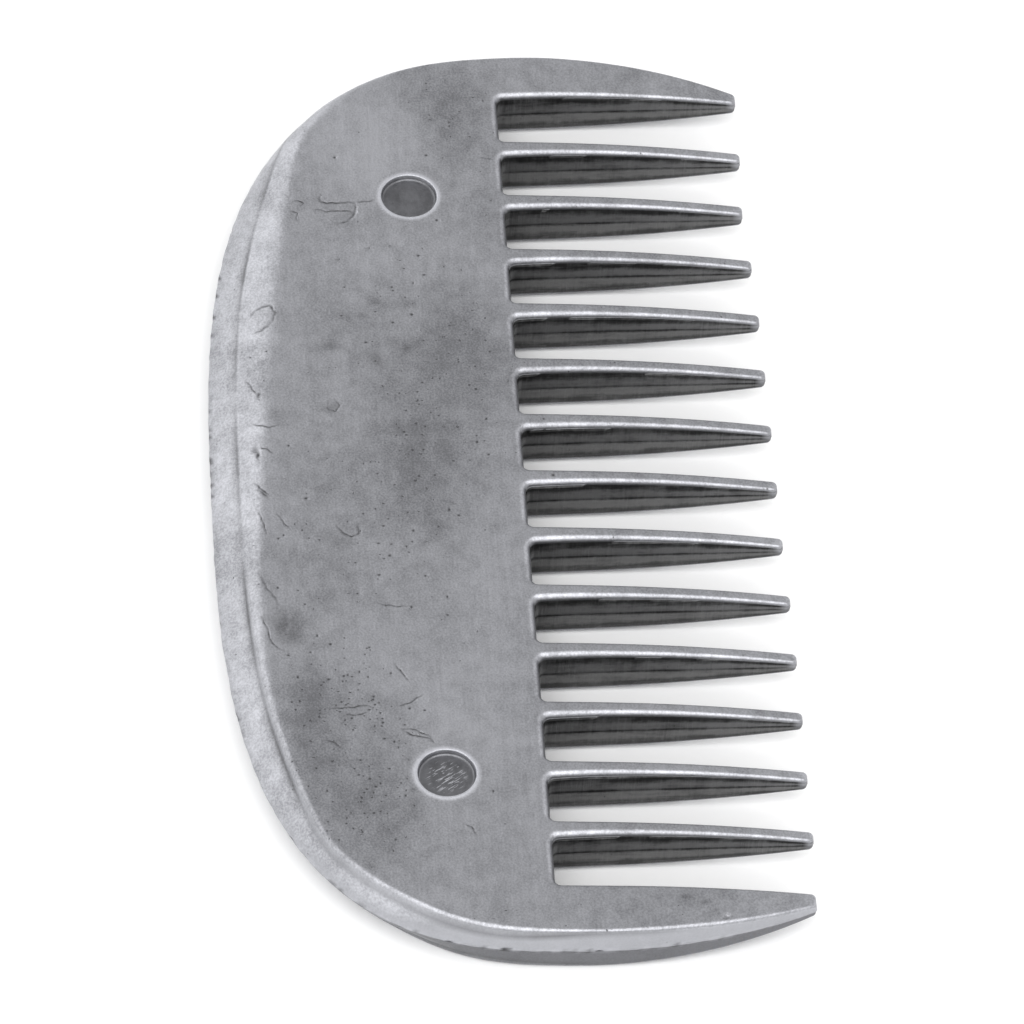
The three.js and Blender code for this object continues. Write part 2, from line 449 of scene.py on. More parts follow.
# -------- marks in the upper face
# Wrinkles that the metal left where two streams of it met: half width, depth, raised lip,
# and the points that each one runs through
WRINKLES = [
    (0.12, 0.09, 0.02, [(33, 14), (32.2, 14), (32.1, 13.1), (32.1, 11.7), (32.2, 10.8)]),
    (0.09, 0.05, 0.03, [(32.2, 10.8), (32.2, 9.5), (32.3, 8.5)]),
    (0.09, 0.06, 0.02, [(31.3, 14.5), (31.1, 13.4), (31.1, 12.2), (31.1, 11.4), (30.8, 10.8)]),
    (0.13, 0.1, 0.03, [(32, 10.8), (31.4, 11), (30.9, 10.9), (30.3, 11.2), (30, 11.5)]),
    (0.1, 0.07, 0.02, [(30, 11.5), (29.8, 11.9), (29.6, 12.3)]),
    (0.08, 0.05, 0.02, [(32.3, 16.4), (32.4, 16), (32.1, 15.5), (31.7, 15.8)]),
    (0.08, 0.06, 0.02, [(31.1, 16.7), (30.9, 16.1), (30.2, 16.2)]),
    (0.12, 0.04, 0.03, [(19.2, 20.7), (19.9, 19.9), (20, 19), (19.1, 18.5), (18, 18.9)]),
    (0.12, 0.03, 0.03, [(18, 18.9), (17.2, 19.8), (17, 20.5)]),
    (0.08, 0.05, 0.01, [(11.5, 21.3), (10.7, 20.9), (9.8, 20.6)]),
    (0.16, 0.05, 0.02, [(10, 20.4), (9.3, 20.4)]),
    (0.08, 0.05, 0.01, [(6.4, 21.2), (6.2, 20.4), (5.8, 19.6), (6.1, 18.7)]),
    (0.14, 0.09, 0.03, [(3.8, 20.8), (2.8, 20.6), (2, 20.7)]),
    (0.09, 0.05, 0.02, [(3.6, 20.6), (3.3, 19.9), (2.9, 19.4)]),
    (0.1, 0.07, 0.02, [(-0.3, 21.1), (-1.4, 20.4), (-2, 19.9)]),
    (0.12, 0.07, 0.02, [(-1.2, 20.9), (-1.7, 20.4), (-2.3, 20)]),
    (0.08, 0.05, 0.02, [(-3.7, 20.9), (-4.9, 20.6), (-6.3, 20.2)]),
    (0.08, 0.04, 0.02, [(-4, 19.3), (-4.9, 18.8), (-5.7, 18.3)]),
    (0.1, 0.05, 0.04, [(-5.4, 14.2), (-6.3, 13.6), (-6.7, 12.9), (-6.3, 12.3), (-5.4, 12.3)]),
    (0.1, 0.04, 0.03, [(8.9, 13.6), (8.2, 13.3), (7.6, 13.7), (7.9, 14.4), (8.7, 14.3)]),
    (0.12, 0.03, 0.05, [(-10.6, 21.2), (-12.3, 20.4), (-14.2, 19.5)]),
    (0.08, 0.04, 0.01, [(-14.1, 11.2), (-14.5, 9.7), (-14.5, 8.3)]),
    (0.09, 0.06, 0.02, [(-20.9, 9.8), (-21.9, 9.3), (-22.7, 8.7)]),
    (0.09, 0.05, 0.02, [(-25.6, 15.6), (-25.5, 13.8), (-25.3, 12.4), (-25.7, 11.9)]),
    (0.09, 0.05, 0.02, [(-26.4, 14.3), (-26.3, 13.2), (-26.1, 12.3)]),
    (0.1, 0.06, 0.02, [(-25.5, 9.7), (-25.1, 8.8), (-24.3, 7.7)]),
    (0.1, 0.05, 0.03, [(-27.9, 9.6), (-28.6, 8.7), (-28.9, 7.6), (-29.4, 6.9)]),
    (0.08, 0.04, 0.03, [(-27.9, 9.6), (-28.1, 8.4), (-28.7, 7.3), (-29.4, 6.9)]),
    (0.08, 0.05, 0.02, [(-29, 16.1), (-29.3, 15.4), (-29.9, 14.8)]),
    (0.08, 0.04, 0.01, [(-38.2, 4.7), (-38.6, 4.2), (-39.6, 3.8)]),
    (0.08, 0.05, 0.02, [(-15.6, 21), (-17, 20.6), (-18.4, 20.3), (-19.2, 19.4)]),
    (0.07, 0.03, 0.01, [(38, -4), (37, -2.2), (37.4, -0.6)]),
]
# Dents: X, Y, reach along X, reach along Y, depth
DENTS = [
    (-16, 19.3, 1.4, 0.8, 0.17),
    (-17.8, 18.5, 0.9, 1, 0.07),
    (-48, -16.9, 0.4, 0.5, 0.16),
    (-46.4, -15.1, 0.35, 0.4, 0.05),
    (-45.9, -13.4, 0.3, 0.5, 0.05),
    (31, 11.1, 0.35, 0.3, 0.08),
    (7.9, 14, 0.6, 0.6, 0.03),
    (3.4, 20.9, 0.35, 0.3, 0.08),
    (-19, -6.6, 0.3, 0.4, 0.05),
    (-35.5, -4.4, 0.4, 0.4, 0.04),
    (13.5, 9.8, 0.7, 0.5, 0.025),
    (14.8, 7, 0.5, 0.4, 0.025),
]
# Zones where the skin is thick with small pits: X, Y, reach along X, reach along Y, how many
PIT_ZONES = [
    (-22, 15, 5, 4, 46),
    (-27, 12, 3, 4, 34),
    (-36, 11, 7, 5, 60),
    (-8, 12, 8, 7, 26),
    (20, 8, 18, 8, 30),
    (0, 5, 42, 9, 60),
]

# Random small pits: how far they spread, their size and stretch, and depth as a share of size
PIT_SEED = 5
PIT_SPREAD = 0.6
PIT_SIZE = (0.05, 0.11)
PIT_STRETCH = (0.8, 1.6)
PIT_DEPTH_SHARE = 0.35
# A wrinkle's stations, how it wanders and fades, and where the mesh has points across it,
# in half widths
WRINKLE_STEP = 0.14
FEWEST_STATIONS = 3
WANDER_SIZE, WANDER_SHARE, WANDER_SEED = 0.6, 1.5, 71
END_FADE, END_FADE_POWER = 0.12, 0.6
STRENGTH_MEAN, STRENGTH_SWING, STRENGTH_SIZE, STRENGTH_SEED = 0.75, 0.5, 0.4, 83
WRINKLE_POINTS = (-2.6, -1.4, -0.6, 0, 0.6, 1.4, 2.6)
WRINKLE_REACH = 4
LIP_OFFSET = 1.7
LIP_SHARE = 0.5
# The groove depth from which a wrinkle's painted shade is full
FULL_SHADE_DEPTH = 0.045
# Dents: where the mesh has points, in shares of their reach, and how they end
SMALL_REACH = 0.25
SMALL_RINGS = (0.0, 0.55, 1.1, 1.7)
LARGE_RINGS = (0.0, 0.3, 0.6, 0.9, 1.2, 1.6)
DENT_SPOKES = 8
DENT_TWIST = 0.4
DENT_REACH = 3
DENT_POWER = 1.3
# How dark the painted shade is in the bowls of small and large dents
SMALL_DENT_SHADE, LARGE_DENT_SHADE = 0.9, 0.35


def pits():
    """Small pits in the upper face, as rows of X, Y, reach along X, reach along Y, depth."""
    rng = np.random.default_rng(PIT_SEED)
    rows = []
    for x, y, reach_x, reach_y, count in PIT_ZONES:
        spots = rng.normal(0, PIT_SPREAD, (count, 2)) * (reach_x, reach_y) + (x, y)
        sizes = rng.uniform(*PIT_SIZE, (count, 1)) * rng.uniform(*PIT_STRETCH, (count, 2))
        for spot, size in zip(spots, sizes):
            rows.append((*spot, *size, PIT_DEPTH_SHARE * size.min()))
    return rows


def wrinkle_stations(path, step):
    """Points along a path, with the path's direction at each."""
    path = np.array(path)
    legs = np.hypot(*np.diff(path, axis=0).T)
    along = np.concatenate([[0], np.cumsum(legs)])
    places = np.linspace(0, along[-1], max(FEWEST_STATIONS, int(along[-1] / step)))
    points = np.column_stack([np.interp(places, along, path[:, k]) for k in (0, 1)])
    direction = np.gradient(points, axis=0)
    direction /= np.linalg.norm(direction, axis=1, keepdims=True)
    return points, direction


def add_wrinkle(points, height, grime, half_width, depth, lip, path, direction, fade):
    """A groove along the path, with a raised lip on its left and painted shade in its bottom."""
    reach = half_width * WRINKLE_REACH
    low, high = path.min(0) - reach, path.max(0) + reach
    near = np.where(((points > low) & (points < high)).all(1))[0]
    if len(near) == 0:
        return
    offset = points[near, None, :] - path[None, :, :]
    distance = np.hypot(offset[..., 0], offset[..., 1])
    k = distance.argmin(1)
    away = offset[np.arange(len(near)), k]
    side = direction[k, 0] * away[:, 1] - direction[k, 1] * away[:, 0]
    distance = distance.min(1)
    groove = np.exp(-((distance / half_width) ** 2)) * fade[k]
    ridge = np.exp(-(((side - LIP_OFFSET * half_width) / half_width) ** 2)) * fade[k]
    ridge *= distance < reach
    height[near] += LIP_SHARE * lip * ridge - depth * groove
    # painted shade in the groove, darker for deeper grooves
    grime[near] = np.maximum(grime[near], groove * min(1, depth / FULL_SHADE_DEPTH))


class Marks:
    """The height, and the painted shade in their hollows, that wrinkles, dents and pits give to
    points of the upper face.

    Extra holds the points that the face's mesh needs for them.
    """

    def __init__(self):
        self.extra = []
        self.wrinkles = []
        for half_width, depth, lip, path in WRINKLES:
            points, direction = wrinkle_stations(path, WRINKLE_STEP)
            across = np.stack([-direction[:, 1], direction[:, 0]], 1)
            wander = noise_at(points, WANDER_SIZE, WANDER_SEED)
            points = points + across * (wander * half_width * WANDER_SHARE)[:, None]
            turn = np.linspace(END_FADE, math.pi - END_FADE, len(points))
            swing = noise_at(points, STRENGTH_SIZE, STRENGTH_SEED)
            fade = np.sin(turn) ** END_FADE_POWER * (STRENGTH_MEAN + STRENGTH_SWING * swing)
            self.wrinkles.append((half_width, depth, lip, points, direction, fade))
            for k in WRINKLE_POINTS:
                self.extra.append(points + across * (k * half_width))
        self.dents = DENTS + pits()
        for x, y, reach_x, reach_y, depth in self.dents:
            rings = SMALL_RINGS if reach_x < SMALL_REACH else LARGE_RINGS
            for k, ring in enumerate(rings):
                spokes = np.arange(1 if k == 0 else DENT_SPOKES)
                angles = spokes * 2 * math.pi / DENT_SPOKES + DENT_TWIST * k
                spot = (x + ring * reach_x * np.cos(angles), y + ring * reach_y * np.sin(angles))
                self.extra.append(np.column_stack(spot))

    def at(self, points):
        height = np.zeros(len(points))
        grime = np.zeros(len(points))
        for wrinkle in self.wrinkles:
            add_wrinkle(points, height, grime, *wrinkle)
        for x, y, reach_x, reach_y, depth in self.dents:
            near = away_from(points, x, y) < DENT_REACH * max(reach_x, reach_y)
            span = ((points[near, 0] - x) / reach_x) ** 2 + ((points[near, 1] - y) / reach_y) ** 2
            bowl = np.exp(-(span**DENT_POWER))
            height[near] -= depth * bowl
            # painted shade in the dent's bowl
            dirt_and_shade = SMALL_DENT_SHADE if reach_x < SMALL_REACH else LARGE_DENT_SHADE
            grime[near] = np.maximum(grime[near], bowl * dirt_and_shade)
        return height, grime


# -------- faces
def inside(points, polygon):
    """True for each point that lies inside the polygon."""
    x, y = points[:, 0], points[:, 1]
    result = np.zeros(len(points), bool)
    ends = np.roll(polygon, -1, 0)
    for (ax, ay), (bx, by) in zip(polygon, ends):
        if ay == by:
            continue
        crosses = (ay > y) != (by > y)
        result ^= crosses & (x < (bx - ax) * (y - ay) / (by - ay) + ax)
    return result


def point_tree(points):
    tree = kdtree.KDTree(len(points))
    for k, (x, y) in enumerate(points):
        tree.insert((x, y, 0), k)
    tree.balance()
    return tree


def distances(points, targets):
    """How far each point is from the nearest target."""
    tree = point_tree(targets)
    return np.array([tree.find((x, y, 0))[2] for x, y in points])


def usable_marks(extra, border):
    """The marks' points that are inside the border, clear of it, and clear of one another."""
    points = np.vstack(extra)
    points = points[inside(points, border)]
    points = points[distances(points, border) > MARK_MARGIN]
    keep, taken = [], set()
    for x, y in points:
        cell = (round(x / MARK_CELL), round(y / MARK_CELL))
        keep.append(cell not in taken)
        taken.add(cell)
    return points[np.array(keep)]


def face_points(border, circles, spacing, extra, seed):
    """Points inside the border: the extra ones first, and an even scatter clear of them."""
    rng = np.random.default_rng(seed)
    low, high = border.min(0), border.max(0)
    xs = np.arange(low[0], high[0], spacing)
    ys = np.arange(max(low[1], ROOT_Y - TOOTH_SCATTER), high[1], spacing * ROW_SPACING)
    gx, gy = np.meshgrid(xs, ys)
    gx = gx + (np.arange(len(ys)) % 2)[:, None] * spacing / 2
    points = np.column_stack([gx.ravel(), gy.ravel()])
    points += rng.uniform(-JITTER, JITTER, points.shape) * spacing
    points = points[inside(points, border)]
    points = points[distances(points, border) > spacing * BORDER_CLEARANCE]
    if extra:
        extra = usable_marks(extra, border)
        points = points[distances(points, extra) > spacing * MARK_CLEARANCE]
        points = np.vstack([extra, points])
    for x, y in circles:
        points = points[away_from(points, x, y) > PIN_COLLAR + COLLAR_CLEARANCE]
    return points


def pin_circle(centre, radius):
    """Points of a circle about a recess's centre. The radius may differ from point to point."""
    x = centre[0] + radius * np.cos(PIN_ANGLES)
    y = centre[1] + radius * np.sin(PIN_ANGLES)
    return np.column_stack([x, y])


def triangulate(border, circles, scatter):
    """Triangles inside the border and outside the circles. The points keep their order."""
    loops = [border] + [pin_circle(c, PIN_COLLAR) for c in circles]
    points = np.vstack(loops + [scatter])
    edges, start = [], 0
    for loop in loops:
        n = len(loop)
        edges += [(start + k, start + (k + 1) % n) for k in range(n)]
        start += n
    result = delaunay_2d_cdt([Vector(p) for p in points], edges, [], 0, SAME_POINT)
    out_points, triangles = result[0], np.array(result[2])
    if len(out_points) != len(points):
        raise RuntimeError("the face's border crosses itself")
    centres = points[triangles].mean(1)
    keep = inside(centres, border)
    for x, y in circles:
        keep &= away_from(centres, x, y) > PIN_COLLAR * JUST_INSIDE
    return points, triangles[keep]


class Surface:
    """Collects vertices, faces and the per-vertex values that the material reads."""

    # One value holds the dark nicks along the parting line together with painted shade in the
    # crease, wrinkles, dents and pits
    VALUES = ("wall", "slot", "up", "lower", "worn", "grime", "tarnish", "pin_floor", "scratched")

    def __init__(self):
        self.vertices = []
        self.faces = []
        self.values = {name: [] for name in self.VALUES}
        self.count = 0

    def add(self, points, **values):
        start = self.count
        self.vertices.append(points)
        for name in self.VALUES:
            value = np.asarray(values.get(name, 0.0), float)
            self.values[name].append(np.broadcast_to(value, len(points)))
        self.count += len(points)
        return start

    def bridge(self, outer, inner, n, flip=False):
        for k in range(n):
            m = (k + 1) % n
            quad = (outer + k, outer + m, inner + m, inner + k)
            self.faces.append(quad[::-1] if flip else quad)


# -------- pin recesses
# A recess from its collar to its middle: radius, share of the height or depth, and wear
PIN_LIP = [(3.05, 0.0, 0.0), (2.88, 0.3, 0.3), (2.74, 0.8, 0.9), (2.6, 1.0, 1.0), (2.52, 0.7, 0.8)]
PIN_WALL = [(2.48, 0.1, 0.2), (2.44, 0.75, 0.0), (2.34, 0.96, 0.0), (2.2, 1.0, 0.0)]
PIN_FLOOR = [(1.9, 1.0, 0.0), (1.4, 1.0, 0.0), (0.8, 1.0, 0.0)]
# Each recess: X, lip height, flash height, how scratched its floor is, seed
PINS = [(PIN_X, 0.04, 0.0, 0.0, 31), (-PIN_X, 0.045, 0.06, 1.0, 37)]
CHIP_ANGLE = math.radians(-50)
CHIP_TURN = (0.1, 0.35)
CHIP_SHARE = 0.8
HEAVY_FLASH_TURN = math.radians(-70)  # from the chip
LIGHT_FLASH = 0.25
LIP_RIPPLE, LIP_RIPPLE_RADIUS = 0.45, 3
LIP_HEIGHT_RIPPLE, LIP_RADIUS_RIPPLE = 0.5, 0.6
DARK_BELOW = (0.05, 0.2)
RUBBED_RADIUS = (1.9, 1.2)


def add_pin_recess(surface, outer, centre, lip_height, flash_height, scratched, seed):
    """A recess with a rounded lip. Its flash is heavy on one side, and chipped beside that."""
    turn = (PIN_ANGLES - CHIP_ANGLE + math.pi) % (2 * math.pi) - math.pi
    heavy = np.exp(-((turn - HEAVY_FLASH_TURN) ** 2))
    chipped = smooth(np.abs(turn), *CHIP_TURN)
    ripple = noise_at(pin_circle((0, 0), LIP_RIPPLE_RADIUS), LIP_RIPPLE, seed)
    flash = flash_height * (LIGHT_FLASH + heavy) * chipped * (1 + LIP_HEIGHT_RIPPLE * ripple)
    lip = lip_height + flash
    broken = CHIP_SHARE * (1 - chipped) * np.abs(ripple)
    ragged = flash_height * (LIP_RADIUS_RIPPLE * ripple - broken)
    rings = [(r, lip * share, worn) for r, share, worn in PIN_LIP]
    for r, share, worn in PIN_WALL + PIN_FLOOR:
        rings.append((r, np.full(PIN_SEGMENTS, -PIN_DEPTH * share), worn))
    for radius, z, worn in rings:
        ring = np.column_stack([pin_circle(centre, radius + ragged * worn), HALF_THICKNESS + z])
        rubbed = scratched * float(smooth(radius, *RUBBED_RADIUS))
        floor = smooth(-z, *DARK_BELOW)
        inner = surface.add(ring, pin_floor=floor, worn=worn, scratched=rubbed)
        surface.bridge(outer, inner, PIN_SEGMENTS)
        outer = inner
    middle = np.array([[centre[0], centre[1], HALF_THICKNESS - PIN_DEPTH]])
    hub = surface.add(middle, pin_floor=1.0, scratched=scratched)
    for k in range(PIN_SEGMENTS):
        surface.faces.append((outer + k, outer + (k + 1) % PIN_SEGMENTS, hub))


# -------- tarnish
# Soft darker and lighter clouds on the upper face: X, Y, reach along X, reach along Y, strength
CLOUDS = [
    (2, 5.5, 13, 4, 0.85),
    (14, 1.5, 9, 3.5, 0.5),
    (40, 2, 7, 3, 0.6),
    (46, 1, 5, 5, 0.4),
    (-16.3, 18.4, 1.6, 1.1, 1.3),
    (15.1, 13.8, 0.7, 0.6, 0.8),
    (20.3, 9.6, 0.7, 0.6, 0.9),
    (20.1, 6.6, 0.5, 0.6, 0.8),
    (18.5, 11.5, 0.6, 1.8, 0.5),
    (-27, 17.5, 6, 2.5, 1),
    (-37, 12, 6, 4, 0.8),
    (-12, 15, 10, 3, 0.35),
    (13.5, 10, 3.5, 3, 0.5),
    (24, 15, 8, 3, 0.3),
    (38, 9, 7, 4, -0.55),
    (26, 3, 6, 4, -0.3),
    (-22, 3, 12, 5, -0.45),
    (-40, 0, 8, 5, 0.1),
]
BASE_TARNISH = 0.1


def tarnish_at(points):
    x, y = points[:, 0], points[:, 1]
    total = np.full(len(points), BASE_TARNISH)
    for cx, cy, rx, ry, strength in CLOUDS:
        total += strength * np.exp(-(((x - cx) / rx) ** 2) - ((y - cy) / ry) ** 2)
    return total


# -------- the casting
CASTING_SEED = 11
CREASE_RING = WALL_STEPS + 2
# Painted shade in the crease: how dark its two rings are, and the most it reaches where the crease
# is deepest
CREASE_SHADE = {CREASE_RING - 1: 0.25, CREASE_RING: 0.6}
MOST_CREASE_SHADE = 1.3
EDGE_WEAR = 0.2
STRIP_WEAR_LOSS = 0.8
WALL_ENDS = (0.1, 0.6)  # across the edge
# The parting line: bright where it was rubbed, with dark nicks along stretches of it
PARTING_RINGS = 2
NICK_SIZE, STRETCH_SIZE = 0.6, 9.0
RUB_WEAR, RUBS = 0.35, (0.0, 0.3)
NICK_GRIME, NICKS, STRETCHES = 0.9, (0.16, 0.34), (0.0, 0.3)


def waves(points, seed):
    """The faint waves of a tumbled casting, in Z, fading out beside the recesses."""
    broad = noise_at(points, BROAD_WAVE, seed)
    close = noise_at(points, CLOSE_WAVE, seed + 7)
    fade = 1.0
    for x in (PIN_X, -PIN_X):
        fade = fade * smooth(away_from(points, x, PIN_Y), PIN_COLLAR, WAVES_BEGIN)
    return WAVE_HEIGHT * (broad + CLOSE_WAVE_SHARE * close) * fade


def parting_line(section, ring, seed):
    """The wear and the grime of the parting line, which the slots have none of."""
    nicks = noise_at(ring, NICK_SIZE, seed + 5)
    stretch = noise_at(ring, STRETCH_SIZE, seed + 9)
    worn = RUB_WEAR * smooth(nicks, *RUBS) * (1 - section.slot)
    grime = NICK_GRIME * smooth(-nicks, *NICKS) * smooth(stretch, *STRETCHES)
    return worn, grime * (1 - section.slot)


def add_rings(surface, section, rings, sign, seed):
    """Adds one half's wall and edge, and gives where each ring's vertices start."""
    starts = []
    # painted shade along the crease, darker where the crease is deeper
    crease_shade = np.clip(section.crease_depth / CREASE_DEPTH, 0, MOST_CREASE_SHADE) * section.rim
    for k, ring in enumerate(rings):
        across = max(0, k - CREASE_RING + 1) / EDGE_STEPS
        ring[:, 2] += sign * waves(ring, seed) * min(1, across)
        ring[:, 2] = np.maximum(ring[:, 2], -HALF_THICKNESS)
        worn = EDGE_WEAR * math.sin(math.pi * min(1, across)) * (1 - STRIP_WEAR_LOSS * section.rim)
        grime = crease_shade * CREASE_SHADE.get(k, 0)
        if k < PARTING_RINGS:
            worn, grime = parting_line(section, ring, seed)
        starts.append(surface.add(
            ring,
            wall=1.0 - smooth(across, *WALL_ENDS),
            slot=section.slot,
            up=np.clip((k - 1) / WALL_STEPS, 0, 1),
            lower=1.0 if sign < 0 else 0.0,
            worn=worn,
            grime=grime,
            tarnish=tarnish_at(ring) if sign > 0 else 0.0,
        ))
    for outer, inner in zip(starts, starts[1:]):
        surface.bridge(outer, inner, len(section.points), flip=sign < 0)
    return starts


def add_half(surface, section, sign, circles, marks, spacing, seed):
    """Adds the half above or below the parting line. Gives the starts of its first ring and of
    its face's own vertices, where the circles come first."""
    rings = section.rings(sign, seed)
    n = len(section.points)
    starts = add_rings(surface, section, rings, sign, seed)
    border = rings[-1][:, :2]
    scatter = face_points(border, circles, spacing, marks.extra if marks else [], seed)
    flat, triangles = triangulate(border, circles, scatter)
    rest = flat[n:]
    z = half_thickness(rest[:, 1]) - section.fall(rest) + waves(rest, seed)
    if sign < 0:
        z = np.minimum(z, HALF_THICKNESS)
    grime = 0.0
    if marks:
        height, grime = marks.at(rest)
        z = z + height
    tarnish = tarnish_at(rest) if sign > 0 else 0.0
    body = np.column_stack([rest, sign * z])
    rest_start = surface.add(body, tarnish=tarnish, grime=grime)
    index = np.concatenate([starts[-1] + np.arange(n), rest_start + np.arange(len(rest))])
    order = triangles if sign > 0 else triangles[:, ::-1]
    surface.faces += [tuple(t) for t in index[order].tolist()]
    return starts[0], rest_start


def build_casting():
    points, edge, slot = comb_outline()
    section = Section(points, outward_normals(points), edge, slot)
    surface = Surface()
    circles = [(pin[0], PIN_Y) for pin in PINS]
    upper, rest = add_half(surface, section, 1, circles, Marks(), FACE_SPACING, CASTING_SEED)
    lower, _ = add_half(surface, section, -1, [], None, UNDERSIDE_SPACING, CASTING_SEED)
    surface.bridge(lower, upper, len(points))
    for k, (x, *looks) in enumerate(PINS):
        add_pin_recess(surface, rest + k * PIN_SEGMENTS, (x, PIN_Y), *looks)

    vertices = np.vstack(surface.vertices)
    vertices[:, 2] += MID_Z
    mesh = bpy.data.meshes.new("comb")
    mesh.from_pydata((vertices * MM).tolist(), [], surface.faces)
    for name, parts in surface.values.items():
        layer = mesh.attributes.new(name, "FLOAT", "POINT")
        layer.data.foreach_set("value", np.concatenate(parts).astype(np.float32))
    mesh.update()
    mesh.shade_smooth()
    return new_object("comb", mesh)


# -------- material helpers
class Nodes:
    """One material's nodes. The methods add the kinds of node that it uses often."""

    def __init__(self, name):
        self.material = bpy.data.materials.new(name)
        self.material.use_nodes = True
        self.tree = self.material.node_tree
        self.tree.nodes.clear()

    def add(self, kind, inputs=None, **settings):
        """A node with its settings, whose inputs are given values or linked to sockets."""
        node = self.tree.nodes.new(kind)
        for key, value in settings.items():
            setattr(node, key, value)
        for key, value in (inputs or {}).items():
            if isinstance(value, bpy.types.NodeSocket):
                self.tree.links.new(value, node.inputs[key])
            else:
                node.inputs[key].default_value = value
        return node

    def math(self, operation, a, b=0.0, clamp=False):
        inputs = {0: a, 1: b}
        return self.add("ShaderNodeMath", inputs, operation=operation, use_clamp=clamp).outputs[0]

    def times(self, a, b, clamp=False):
        return self.math("MULTIPLY", a, b, clamp)

    def total(self, first, *others):
        for other in others:
            first = self.math("ADD", first, other)
        return first

    def ramp(self, value, low, high, start=0.0, end=1.0):
        """Start where the value is low, end where it is high, and a smooth change between."""
        inputs = {"Value": value, "From Min": low, "From Max": high, "To Min": start, "To Max": end}
        node = self.add("ShaderNodeMapRange", inputs, interpolation_type="SMOOTHSTEP")
        return node.outputs["Result"]

    def mix_colour(self, factor, a, b):
        inputs = {"Factor": factor, "A": a, "B": b}
        return self.add("ShaderNodeMix", inputs, data_type="RGBA").outputs["Result"]

    def attribute(self, name):
        return self.add("ShaderNodeAttribute", attribute_name=name).outputs["Fac"]

    def noise(self, vector, per_metre, detail=3.0, roughness=0.5, distortion=0.0):
        inputs = {"Vector": vector, "Scale": per_metre, "Detail": detail}
        inputs.update({"Roughness": roughness, "Distortion": distortion})
        return self.add("ShaderNodeTexNoise", inputs).outputs["Fac"]

    def pushed(self, vector, per_metre, distance):
        """The place pushed aside at random, by up to half a distance in millimetres."""
        noises = self.add("ShaderNodeTexNoise", {"Vector": vector, "Scale": per_metre})
        inputs = {0: noises.outputs["Color"], 1: (0.5, 0.5, 0.5)}
        shift = self.add("ShaderNodeVectorMath", inputs, operation="SUBTRACT")
        inputs = {0: shift.outputs[0], 1: (distance * MM,) * 3, 2: vector}
        return self.add("ShaderNodeVectorMath", inputs, operation="MULTIPLY_ADD").outputs[0]

    def stretched(self, vector, lengths, angle=0.0):
        """The place measured in lengths along X, Y and Z, which are first turned about Z."""
        scale = [length * MM for length in lengths]
        inputs = {"Vector": vector, "Rotation": (0, 0, math.radians(angle)), "Scale": scale}
        return self.add("ShaderNodeMapping", inputs, vector_type="TEXTURE").outputs["Vector"]

    def finish(self, shader):
        self.add("ShaderNodeOutputMaterial", {"Surface": shader.outputs[0]})
        return self.material


# -------- the metal
BLUE = 0.075  # how much bluer than grey the metal is
SKIN_BLUE = 0.02
GREEN_SHARE = 0.15  # green rises by this share of what blue does
# Textures: features in a metre, or the lengths of one in millimetres
CLOUDS_PER_METRE, MOTTLE_PER_METRE, GRAIN_PER_METRE = 110, 620, 5200
BRUSHED_LENGTHS = (6.0, 0.3, 0.3)
STRIAE_LENGTHS = (3.0, 0.3, 6.0)
STREAK_LENGTHS = (1.2, 5.0, 0.7)
RUB_LENGTHS, RUB_ANGLE = (0.12, 0.7, 1.0), 35
PITS_PER_METRE, PIT_EDGES, PIT_EDGE_PUSH = 2300, 5000, 0.3
# Ramps: low and high, and what they turn into. The face's stain is a sum of three and tarnish.
CLOUD_STAIN = (0.3, 0.72, -0.22, 0.38)
MOTTLE_STAIN = (0.3, 0.72, -0.26, 0.36)
GRAIN_STAIN = (0.3, 0.7, -0.4, 0.4)
ALL_STAIN = (-1.2, 2.0)
# The skin in the slots is darkest below the rounded edge, as painted shade, and beside the parting
# line
MOTTLE_SKIN = (0.3, 0.7, 0.2, 0.6)
STREAK_SKIN = (0.35, 0.65, -0.25, 0.25)
STRIAE_SKIN = (0.35, 0.65, -0.06, 0.06)
HIGH_WALL_SHADE = (0.35, 0.85, -0.25, 0.65)
PARTING_SKIN = (0.12, 0.0, 0.0, 0.6)
ALL_SKIN = (0.0, 1.3)
STEEP = (0.75, 0.35)
MOTTLE_PIN = (0.35, 0.7)
RUBBED_PIN = (0.53, 0.66)
# Pits are likelier where the metal is stained, and size is the share of a cell that one fills
PIT_STAIN = (-0.3, 1.6, -0.1, 0.25)
PIT_CELL_SIZE = (0.78, 1.15, 0.0, 0.34)
PIT_EDGE = (0.0, 0.12)
# Tones, as reflectances: light and dark
FACE_TONES = (0.57, 0.19)
# The upper skin's dark tones are partly painted shade in the slots
UPPER_SKIN_AND_SHADE_TONES = (0.18, 0.028)
LOWER_SKIN_TONES = (0.17, 0.06)
# The wall's dark tone, under the parting line, is partly painted shade near the floor
DULL_AND_SHADED_WALL_TONES = (0.42, 0.13)
PIN_TONES = (0.21, 0.14)
# The darkest tone marks the parting line's nicks, and is also painted shade in the crease,
# wrinkles, dents and pits
RUBBED_TONE, WORN_TONE, DIRT_AND_SHADE_TONE = 0.6, 0.66, 0.04
# The last share is how dark the pits' painted shade is
WALL_SHARE, WORN_SHARE, PIT_SHADE = 0.85, 0.65, 0.6
# Roughness of clean and of stained metal, and what else changes it
CLEAN_ROUGHNESS, STAINED_ROUGHNESS = 0.36, 0.5
SLOT_ROUGHNESS, WORN_ROUGHNESS = 0.08, 0.2
BRUSHED_ROUGHNESS = (0.3, 0.7, -0.03, 0.03)
# Relief, in millimetres
GRAIN_RELIEF, MOTTLE_RELIEF, BRUSHED_RELIEF = 0.01, 0.06, 0.005
STRIAE_RELIEF, PIT_RELIEF = 0.08, 0.04


def grey(value, blue=0.0):
    return (value, value * (1 + GREEN_SHARE * blue), value * (1 + blue), 1)


